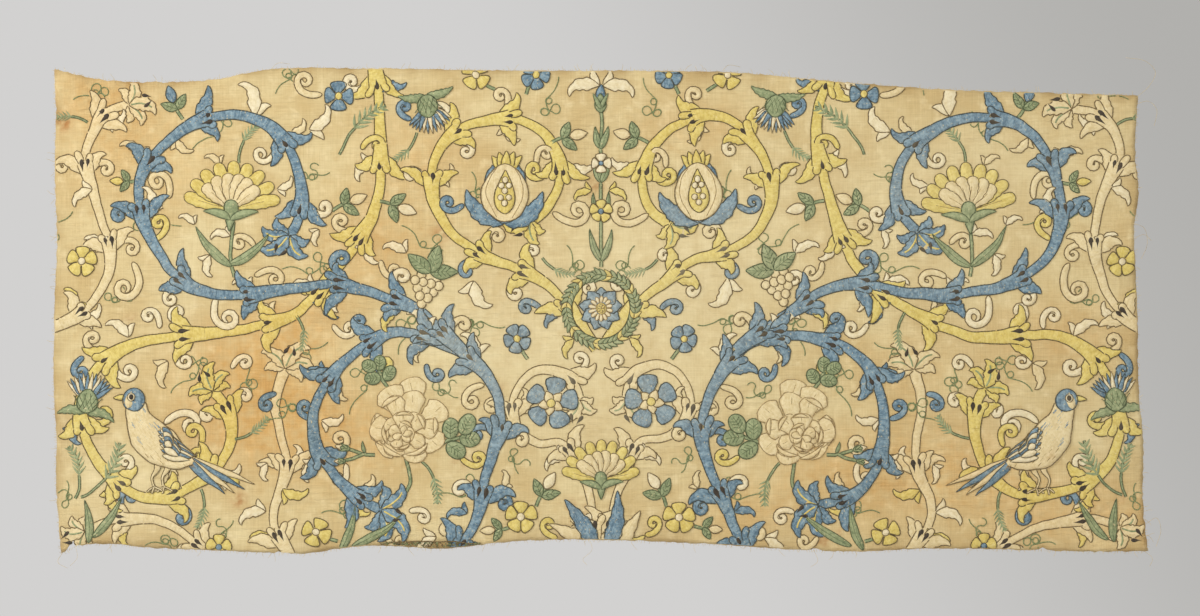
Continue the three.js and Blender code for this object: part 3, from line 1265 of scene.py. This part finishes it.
def lay_fills(silk):
    """One mesh of all the fills in one silk, with each point's place along and across its threads."""
    bm = bmesh.new()
    thread = bm.verts.layers.float_vector.new("thread")
    stain = bm.verts.layers.float_vector.new("stain")
    places, ranks, outside, grounds = [], [], [], []
    for item in (f for f in fills if f.silk == silk):
        across = next(columns for most, columns in SHARES_ACROSS.items() if item.half.max() <= most)
        rows, columns = len(item.spine), len(across)
        out = sideways(item.spine) * item.half[:, None]
        flat = item.spine[:, None] + out[:, None] * np.array(across)[None, :, None]
        inside = held_inside(flat, MARGIN)
        moved = cut_off(flat, MARGIN)
        along = distances(item.spine)
        grid = bmesh.ops.create_grid(bm, x_segments=rows - 1, y_segments=columns - 1, size=1)
        lift = lift_of(item)
        for vert in grid["verts"]:
            i = round((vert.co.x + 1) / 2 * (rows - 1))
            j = round((vert.co.y + 1) / 2 * (columns - 1))
            x, z = inside[i, j]
            raised = lift + item.puff * (1 - across[j] ** 2) if abs(across[j]) < 1 else -EDGE_DIP
            grounds.append(depth_at(cloth_tree, x, z))
            vert.co = Vector((x, grounds[-1] - raised, z)) * MM
            grain = (along[i], across[j] * item.half[i])
            vert[thread] = (*(grain[::-1] if item.across_grain else grain), item.order % SHADES)
            vert[stain] = stain_at(x, z)
            places.append((x, z))
            ranks.append(rank(item))
            outside.append(moved[i, j])
    hidden = covered(np.array(places), np.array(ranks), RINGS) | np.array(outside)
    bm.verts.ensure_lookup_table()
    bm.verts.index_update()
    gone = [face for face in bm.faces if all(hidden[vert.index] for vert in face.verts)]
    for vert in bm.verts:
        if hidden[vert.index]:
            vert.co.y = (grounds[vert.index] - TUCKED) * MM
    bmesh.ops.delete(bm, geom=gone, context="FACES")
    bmesh.ops.recalc_face_normals(bm, faces=bm.faces)
    for face in bm.faces:
        if face.normal.y > 0:
            face.normal_flip()
    piece = smooth_object("silk_" + silk, bm)
    print("silk", silk, len(piece.data.polygons), "faces,", len(gone), "covered faces left out")
    return piece


FILL_SILKS = ("blue", "yellow", "cream", "ivory", "green", "dark")
silk_pieces = {silk: lay_fills(silk) for silk in FILL_SILKS}


# %% Threads
def thread_mesh(name, strands):
    """One mesh of round threads, each a list of places in mm and a list of radii in mm."""
    curve = bpy.data.curves.new(name, "CURVE")
    curve.dimensions = "3D"
    curve.bevel_depth = MM
    curve.bevel_resolution = 0
    curve.use_fill_caps = True
    for places, radii in strands:
        spline = curve.splines.new("POLY")
        spline.points.add(len(places) - 1)
        spline.points.foreach_set("co", [c for x, y, z in places for c in (x * MM, y * MM, z * MM, 1)])
        spline.points.foreach_set("radius", radii)
    holder = bpy.data.objects.new(name, curve)
    mesh = bpy.data.meshes.new_from_object(holder)
    mesh.name = name
    bpy.data.objects.remove(holder)
    mesh.calc_loop_triangles()
    print("thread", name, len(strands), "strands,", len(mesh.loop_triangles), "triangles")
    return added(name, mesh)


# %% Lines in stem stitch
SWELL = 0.16
FRONT_RISE = 0.45
BACK_RISE = 0.3
BACK_DASH = 4
BACK_RADIUS = 0.5
BACK_SILKS = {
    # the thread of a line, and the two colours that its stitches show by turns on the back
    "ink": ("blue", "ink"),
    "brown": ("yellow", "brown"),
    "umber": ("tan", "umber"),
    "dark_green": ("green", "dark_green"),
    "green": ("green", "green"),
}


def visible_runs(silk):
    """The stretches of the lines in one silk that nothing covers, with points half a stitch apart."""
    chosen = [item for item in lines if item.silk == silk]
    points = [spaced(item.points, STITCH / 2) for item in chosen]
    owners = np.concatenate([np.full(len(p), i) for i, p in enumerate(points)])
    ranks = np.array([rank(item) for item in chosen])[owners]
    everything = np.vstack(points)
    gone = covered(everything, ranks, RINGS)
    gone |= cut_off(everything, MARGIN)
    runs, start = [], 0
    for i in range(len(everything) + 1):
        if i == len(everything) or gone[i] or (i > start and owners[i] != owners[i - 1]):
            if i - start > 1:
                runs.append((chosen[owners[start]], everything[start:i]))
            start = i if i < len(everything) and not gone[i] else i + 1
    return runs


def front_strand(item, points):
    """A line on the face, which swells and thins from stitch to stitch."""
    rise = lift_of(item) + item.radius * FRONT_RISE
    places = [(x, depth_at(cloth_tree, x, z) - rise, z) for x, z in points]
    return places, [item.radius * (1 + SWELL if i % 2 else 1 - SWELL) for i in range(len(places))]


def back_strand(points):
    """One short stitch on the back."""
    places = [(x, depth_at(cloth_tree, x, z, 1) + BACK_RADIUS * BACK_RISE, z) for x, z in points]
    return places, [BACK_RADIUS] * len(points)


LINE_SILKS = ("ink", "brown", "umber", "tan", "green", "dark_green", "blue")
RUNS = {silk: visible_runs(silk) for silk in LINE_SILKS}
line_pieces = {silk: thread_mesh("stitches_" + silk, [front_strand(*run) for run in RUNS[silk]])
               for silk in LINE_SILKS}
dashes = defaultdict(list)
for silk, shown in BACK_SILKS.items():
    for item, points in RUNS[silk]:
        for i in range(0, len(points) - 1, BACK_DASH):
            dashes[shown[i // BACK_DASH % 2]].append(back_strand(points[i : i + BACK_DASH // 2 + 1]))
back_pieces = {silk: thread_mesh("back_stitches_" + silk, found) for silk, found in dashes.items()}

# %% [markdown]
# ## Frayed edges
#
# The edges are raw, so the outermost threads have come out. Short ends stand off all round, and a
# few long threads hang loose at the right side and at the corners.

# %% Fray
FRAY_STEP = 2.1
FRAY_RADIUS = 0.17
SHORT_END = (0.8, 3.2)
LONG_END = (4, 9)
SHORT_SHARE = 0.93
LEAN = (-0.7, 0.7)
STAND = (-0.4, 0.15)
SAG = 0.12
CURLED = 0.15
LOOSE_STEP = 1.6
LOOSE_THICK = 0.9
FRAY_POINTS = [
    # how far along its reach each point of a thread end lies, and how thick it is there
    (-0.4, 1.0),
    (0.3, 1.0),
    (0.7, 0.9),
    (1.0, 0.5),
]
OUTWARD = {"top": (0, 1), "bottom": (0, -1), "right": (1, 0), "left": (-1, 0)}
LOOSE_THREADS = [
    # each runs through these places, x, how far out from the wall and z
    [(534, 3, -27), (546, 5, -16), (552, 7, -2), (541, 8, 9), (522, 9, 12)],
    [(533, 4, -34), (545, 6, -31), (553, 9, -40), (550, 10, -56)],
    [(529, 6, -152), (541, 8, -158), (543, 10, -174), (537, 11, -188)],
    [(530, 6, -168), (540, 9, -164), (547, 11, -170)],
    [(543, 5, -452), (553, 8, -446), (557, 9, -458), (552, 10, -474)],
    [(540, 4, -478), (549, 6, -486), (546, 8, -494)],
    [(-536, 4, -480), (-541, 6, -490), (-531, 8, -496)],
    [(-524, 3, -474), (-522, 5, -486), (-529, 6, -494)],
    [(-12, 3, -466), (-9, 5, -478), (-18, 6, -487), (-14, 6, -493)],
    [(212, 3, -478), (216, 5, -489), (209, 6, -495)],
    [(-330, 3, 0), (-322, 5, 7), (-310, 6, 6)],
    [(120, 3, -2), (127, 5, 5), (139, 6, 3)],
]


def fray():
    """Short thread ends all along the cut edges, and the loose threads."""
    pick = random.Random(21)
    strands = []
    for name, (out_x, out_z) in OUTWARD.items():
        first, last = EDGES[name][0][0], EDGES[name][0][-1]
        for i in range(round((last - first) / FRAY_STEP)):
            place = first + (i + pick.random()) * FRAY_STEP
            x, z = (place, edge_at(name, place)) if out_z else (edge_at(name, place), place)
            x, z = held_inside(np.array([x, z]), LINEN_THICKNESS)
            y = depth_at(cloth_tree, x, z) + LINEN_THICKNESS / 2
            reach = pick.uniform(*(SHORT_END if pick.random() < SHORT_SHARE else LONG_END))
            lean, stand = pick.uniform(*LEAN), pick.uniform(*STAND)
            places = []
            for share, _ in FRAY_POINTS:
                bow = lean * share * share + CURLED * math.sin(3 * share + i)
                places.append((x + reach * (out_x * share + out_z * bow), y + reach * stand * share**2,
                               z + reach * (out_z * share + out_x * bow - SAG * share**2)))
            strands.append((places, [FRAY_RADIUS * thick for _, thick in FRAY_POINTS]))
    for thread in LOOSE_THREADS:
        flat = smooth_path([(x, z) for x, _, z in thread], LOOSE_STEP)
        out = np.interp(np.linspace(0, 1, len(flat)), np.linspace(0, 1, len(thread)), [p[1] for p in thread])
        places = [(x, -y, z) for (x, z), y in zip(flat, out)]
        strands.append((places, [FRAY_RADIUS * LOOSE_THICK] * len(places)))
    return thread_mesh("frayed_threads", strands)


frayed = fray()

# %% [markdown]
# ## Finishes
#
# The silks are untwisted floss, so each has fine streaks along its threads, paler patches where
# it is worn and small holes where the linen shows. The streaks follow the `thread` attribute that
# every fill carries. The linen has a plain weave with thick and thin threads. The stains go
# through cloth and silk alike, so both read the same `stain` attribute.


# %% Building materials
SPECULAR = 0.3


def srgb(red, green, blue):
    """A colour given as the eye sees it on a screen, from 0 to 255, in Blender's linear values."""
    values = [c / 255 for c in (red, green, blue)]
    return tuple(v / 12.92 if v <= 0.04045 else ((v + 0.055) / 1.055) ** 2.4 for v in values) + (1.0,)


def add_node(tree, kind, output, inputs, **settings):
    """Adds a node, sets or links its inputs, and gives back one of its outputs."""
    node = tree.nodes.new("ShaderNode" + kind)
    for name, value in settings.items():
        setattr(node, name, value)
    for key, value in inputs.items():
        if isinstance(value, bpy.types.NodeSocket):
            tree.links.new(value, node.inputs[key])
        else:
            node.inputs[key].default_value = value
    return node.outputs[output]


class Recipe:
    """A material in the making: its nodes are added one by one, and each gives back its output."""

    def __init__(self, name, roughness, sheen=0.0):
        self.material = bpy.data.materials.new(name)
        self.material.use_nodes = True
        self.tree = self.material.node_tree
        self.shader = self.tree.nodes["Principled BSDF"]
        self.shader.inputs["Roughness"].default_value = roughness
        self.shader.inputs["Sheen Weight"].default_value = sheen
        self.shader.inputs["Specular IOR Level"].default_value = SPECULAR

    def add(self, kind, output, inputs, **settings):
        return add_node(self.tree, kind, output, inputs, **settings)

    def attribute(self, name):
        return self.add("Attribute", "Vector", {}, attribute_name=name)

    def scaled(self, vector, factors):
        return self.add("VectorMath", 0, {0: vector, 1: factors}, operation="MULTIPLY")

    def in_mm(self):
        return self.scaled(self.add("TexCoord", "Object", {}), (1 / MM, 1 / MM, 1 / MM))

    def noise(self, vector, scale=1.0, detail=2.0):
        return self.add("TexNoise", "Fac", {"Vector": vector, "Scale": scale, "Detail": detail})

    def ranged(self, value, low, high, to_low=0.0, to_high=1.0):
        inputs = {"Value": value, "From Min": low, "From Max": high, "To Min": to_low, "To Max": to_high}
        return self.add("MapRange", "Result", inputs)

    def math(self, operation, first, second):
        return self.add("Math", 0, {0: first, 1: second}, operation=operation)

    def mix(self, factor, first, second, blend="MIX"):
        return self.add("Mix", 2, {0: factor, 6: first, 7: second}, data_type="RGBA", blend_type=blend)

    def tint(self, colour, tone, value, low, high, strength=1.0, blend="MIX"):
        """The colour, drawn towards a tone as a value goes from low to high."""
        return self.mix(self.ranged(value, low, high, 0, strength), colour, tone, blend)

    def toned(self, colour, value, strength, high, high_range, low, low_range):
        """The colour, drawn to one tone where a value is high and to another where it is low."""
        colour = self.tint(colour, high, value, *high_range, strength)
        return self.tint(colour, low, value, *low_range, strength)

    def stained(self, colour, strength=1.0):
        """The colour with the cloth's warm and pale patches, its rust spots and its soiled edges."""
        stain = self.attribute("stain")
        warm, rusty, soiled = (self.add("SeparateXYZ", axis, {0: stain}) for axis in "XYZ")
        blotch = self.noise(self.in_mm(), 0.11, 3.0)
        uneven = self.math("MULTIPLY", self.ranged(blotch, 0.3, 0.7, 0.5, 1.3), warm)
        colour = self.tint(colour, WARM_TINT, uneven, 0, 1.2, 0.95 * strength, "MULTIPLY")
        colour = self.tint(colour, PALE, uneven, 0, -1.2, 0.55 * strength)
        spotted = self.math("MULTIPLY", self.ranged(blotch, 0.35, 0.6), rusty)
        colour = self.tint(colour, RUST, spotted, 0, 1, 0.9 * strength, "MULTIPLY")
        return self.tint(colour, SOIL, soiled, 0, 1, 0.7 * strength, "MULTIPLY")

    def finish(self, colour, height, distance):
        bump = self.add("Bump", "Normal", {"Height": height, "Distance": distance, "Strength": 1.0})
        self.tree.links.new(bump, self.shader.inputs["Normal"])
        self.tree.links.new(colour, self.shader.inputs["Base Color"])
        return self.material


# %% Linen and silks
LINEN_COLOUR = srgb(219, 200, 150)
LINEN_SHADE = srgb(204, 178, 124)
LINEN_BLEACHED = srgb(232, 214, 166)
WARM_TINT = srgb(250, 222, 186)
PALE = srgb(227, 211, 166)
RUST = srgb(200, 142, 88)
SOIL = srgb(182, 158, 116)
LINEN_BUMP = 0.00016
WEAVE = {"Scale": 0.42, "Distortion": 0.6}
WRINKLES = 13.0
SILK_BUMP = 0.00035
WEAR = 0.7
STREAKS = [
    # how strong, and how fine along the thread, across it and from one fill to the next
    (0.34, (0.05, 0.4, 7.3)),
    (0.55, (0.12, 1.8, 5.9)),
]
PATCHES = [
    # how fine and how strong
    (0.16, 0.5),
    (0.4, 0.55),
]
THREAD_BUMP = 0.0001
SILKS = {
    # silk, its colour, its lighter streaks and its darker ones
    "blue": ((103, 130, 145), (154, 176, 183), (62, 88, 104)),
    "yellow": ((213, 191, 102), (226, 208, 132), (190, 164, 80)),
    "cream": ((219, 199, 150), (230, 213, 170), (202, 178, 126)),
    "ivory": ((226, 211, 170), (236, 224, 192), (208, 188, 142)),
    "green": ((138, 148, 106), (170, 177, 132), (104, 116, 78)),
    "dark": ((56, 47, 34), (84, 70, 48), (38, 32, 24)),
}
THREADS = {
    "ink": ((74, 78, 70), (98, 104, 92), (52, 54, 46)),
    "brown": ((104, 88, 52), (130, 114, 72), (76, 64, 38)),
    "umber": ((118, 98, 60), (142, 122, 80), (90, 74, 44)),
    "tan": ((156, 130, 84), (180, 154, 104), (128, 104, 66)),
    "green": ((124, 134, 88), (148, 156, 110), (100, 112, 70)),
    "dark_green": ((88, 98, 64), (112, 122, 84), (64, 74, 48)),
    "blue": ((110, 138, 156), (140, 164, 178), (84, 112, 132)),
    "yellow": ((213, 191, 102), (226, 208, 132), (190, 164, 80)),
}


def linen_finish():
    recipe = Recipe("linen", roughness=0.92, sheen=0.15)
    place = recipe.in_mm()
    cloudy = recipe.noise(place, 0.016, 4.0)
    colour = recipe.tint(LINEN_COLOUR, LINEN_SHADE, cloudy, 0.35, 0.72)
    mottled = recipe.noise(place, 0.07, 4.0)
    colour = recipe.toned(colour, mottled, 0.6, LINEN_SHADE, (0.52, 0.7), LINEN_BLEACHED, (0.46, 0.3))
    weft = recipe.noise(recipe.scaled(place, (0.03, 1, 1.3)))
    warp = recipe.noise(recipe.scaled(place, (1.3, 1, 0.03)))
    threads = recipe.math("ADD", weft, warp)
    colour = recipe.tint(colour, SOIL, threads, 0.85, 1.35, 0.26, "MULTIPLY")
    colour = recipe.stained(colour)
    across, down = (recipe.add("TexWave", "Fac", {"Vector": place, **WEAVE}, bands_direction=axis)
                    for axis in "XZ")
    woven = recipe.math("ADD", recipe.math("MULTIPLY", across, down), recipe.math("MULTIPLY", threads, 0.8))
    where = recipe.ranged(recipe.noise(place, 0.012, 1.0), 0.42, 0.62, 0.3, 1.0)
    wrinkles = recipe.noise(recipe.scaled(place, (0.035, 1, 0.2)))
    wrinkles = recipe.math("MULTIPLY", recipe.math("MULTIPLY", wrinkles, where), WRINKLES)
    return recipe.finish(colour, recipe.math("ADD", woven, wrinkles), LINEN_BUMP)


def silk_finish(name, colours, wear):
    main, light, dark = (srgb(*c) for c in colours)
    recipe = Recipe(name, roughness=0.6, sheen=0.25)
    thread = recipe.attribute("thread")
    colour = main
    for strength, factors in STREAKS:
        streaks = recipe.noise(recipe.scaled(thread, factors))
        colour = recipe.toned(colour, streaks, strength, light, (0.52, 0.68), dark, (0.46, 0.32))
    place = recipe.in_mm()
    for scale, strength in PATCHES:
        patches = recipe.noise(place, scale, 3.0)
        colour = recipe.toned(colour, patches, strength, light, (0.5, 0.72), dark, (0.48, 0.3))
    worn = recipe.noise(place, 0.5, 3.0)
    colour = recipe.tint(colour, LINEN_COLOUR, worn, 0.62, 0.7, wear)
    colour = recipe.stained(colour, 0.35)
    fine = recipe.noise(recipe.scaled(thread, (0.15, 3.2, 5.1)), 1.0, 1.0)
    return recipe.finish(colour, fine, SILK_BUMP)


def thread_finish(name, colours):
    main, light, dark = (srgb(*c) for c in colours)
    recipe = Recipe(name, roughness=0.7, sheen=0.1)
    place = recipe.in_mm()
    twist = recipe.noise(place, 0.7)
    colour = recipe.tint(dark, main, twist, 0.35, 0.52)
    colour = recipe.tint(colour, light, twist, 0.52, 0.7)
    return recipe.finish(colour, twist, THREAD_BUMP)


def hand_over(piece, material):
    """Gives a piece its finish, and lets it ride on the hanging in the right slot."""
    piece.data.materials.append(material)
    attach(piece, "root")


linen_material = linen_finish()
hand_over(linen, linen_material)
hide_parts(CLOTH_NODE)
hand_over(frayed, linen_material)
for silk, piece in silk_pieces.items():
    hand_over(piece, silk_finish("silk_" + silk, SILKS[silk], 0 if silk == "dark" else WEAR))
for silk, colours in THREADS.items():
    material = thread_finish("thread_" + silk, colours)
    for piece in (line_pieces.get(silk), back_pieces.get(silk)):
        if piece:
            hand_over(piece, material)
print("finishes given:", len(bpy.data.materials))

# %% [markdown]
# ## Floor, light and camera
#
# The photograph looks straight at the cloth in even daylight from the left, on a pale grey ground
# that gets a little darker to the right. The world gives the ground and most of the light. One
# large soft lamp at the left lets the folds show, and two weaker ones light the rest and the back.

# %% Floor and world
FLOOR_RADIUS = 1.9
FLOOR_DROP = 0.85
BACKGROUND_LEFT = srgb(210, 209, 208)
BACKGROUND_RIGHT = srgb(177, 176, 173)
HEIGHT_COUNTS = 0.45
FADE = (-0.04, 0.31)

bm = bmesh.new()
bmesh.ops.create_circle(bm, cap_ends=True, segments=96, radius=FLOOR_RADIUS)
bmesh.ops.translate(bm, verts=bm.verts, vec=(0, 0, -FLOOR_DROP))
floor = smooth_object("floor", bm)
floor_recipe = Recipe("floor", roughness=0.9)
floor_recipe.shader.inputs["Base Color"].default_value = BACKGROUND_LEFT
floor.data.materials.append(floor_recipe.material)

world = bpy.context.scene.world or bpy.data.worlds.new("world")
bpy.context.scene.world = world
world.use_nodes = True
sky = world.node_tree
direction = add_node(sky, "TexCoord", "Generated", {})
right, high = (add_node(sky, "SeparateXYZ", axis, {0: direction}) for axis in "XZ")
lean = add_node(sky, "Math", 0, {0: high, 1: HEIGHT_COUNTS, 2: right}, operation="MULTIPLY_ADD")
fade = add_node(sky, "MapRange", "Result", {"Value": lean, "From Min": FADE[0], "From Max": FADE[1]},
                interpolation_type="SMOOTHSTEP")
ground = add_node(sky, "Mix", 2, {0: fade, 6: BACKGROUND_LEFT, 7: BACKGROUND_RIGHT}, data_type="RGBA")
sky.links.new(ground, sky.nodes["Background"].inputs["Color"])
sky.nodes["Background"].inputs["Strength"].default_value = 1.0


# %% Lamps and camera
AIM = (0, 0, -0.24)
LAMPS = [
    # name, place, size in metres and watts
    ("key", (-1.75, -1.75, 0.95), 1.2, 47),
    ("fill", (1.2, -2.6, 0.8), 1.8, 22),
    ("back", (0.8, 2.4, 1.0), 1.6, 26),
]
LENS = 70
CAMERA_PLACE = (-0.001, -2.33, -0.237)


def soft_light(name, place, size, watts):
    data = bpy.data.lights.new(name, "AREA")
    data.shape = "DISK"
    data.size = size
    data.energy = watts
    light = added(name, data)
    light.location = place
    light.rotation_euler = (Vector(AIM) - Vector(place)).to_track_quat("-Z", "Y").to_euler()
    light.visible_camera = False


for lamp in LAMPS:
    soft_light(*lamp)
print("lamps placed:", len(LAMPS))

camera_data = bpy.data.cameras.new("camera")
camera_data.lens = LENS
camera = added("camera", camera_data)
camera.location = CAMERA_PLACE
camera.rotation_euler = (math.pi / 2, 0, 0)
bpy.context.scene.camera = camera
bpy.context.scene.view_settings.view_transform = "Standard"
